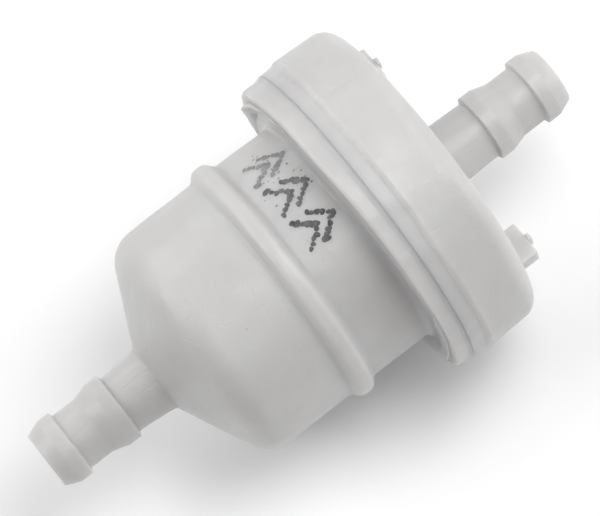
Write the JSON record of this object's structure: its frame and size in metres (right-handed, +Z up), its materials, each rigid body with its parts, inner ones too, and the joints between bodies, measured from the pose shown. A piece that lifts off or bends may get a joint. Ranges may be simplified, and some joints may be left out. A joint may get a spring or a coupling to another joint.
{
  "type": "inline fuel filter",
  "caption": "Disposable inline fuel filter: a cone-nosed moulded bowl and a welded cap, each with a ridged hose barb, around a pleated paper element.",
  "frame": {"origin": "on the flow axis, halfway along the overall length, which is the centre of the bounding box", "axes": "+X along the flow, from the inlet barb to the outlet barb; the two drive lugs on the cap lie along +Y and -Y; +Z up"},
  "size_m": [0.08, 0.045, 0.045],
  "materials": {
    "housing": "natural milky moulded nylon, soft sheen",
    "weld": "re-set melt, glossier than the mouldings",
    "gasket": "moulded nitrile rubber",
    "end_plate": "moulded, slightly yellowed",
    "tinplate": "thin rolled tinplate",
    "filter_paper": "resin-treated crepe filter paper",
    "adhesive": "poured potting adhesive"
  },
  "bodies": {
    "root": {"bowl_housing": "housing", "outlet_cap": "housing", "weld_bead": "weld", "rim_gasket": "gasket", "top_end_plate": "end_plate", "bottom_end_plate": "end_plate", "support_tube": "tinplate", "pleated_paper": "filter_paper", "top_bond": "adhesive", "bottom_bond": "adhesive", "seam_clip": "tinplate"}
  },
  "joints": []
}
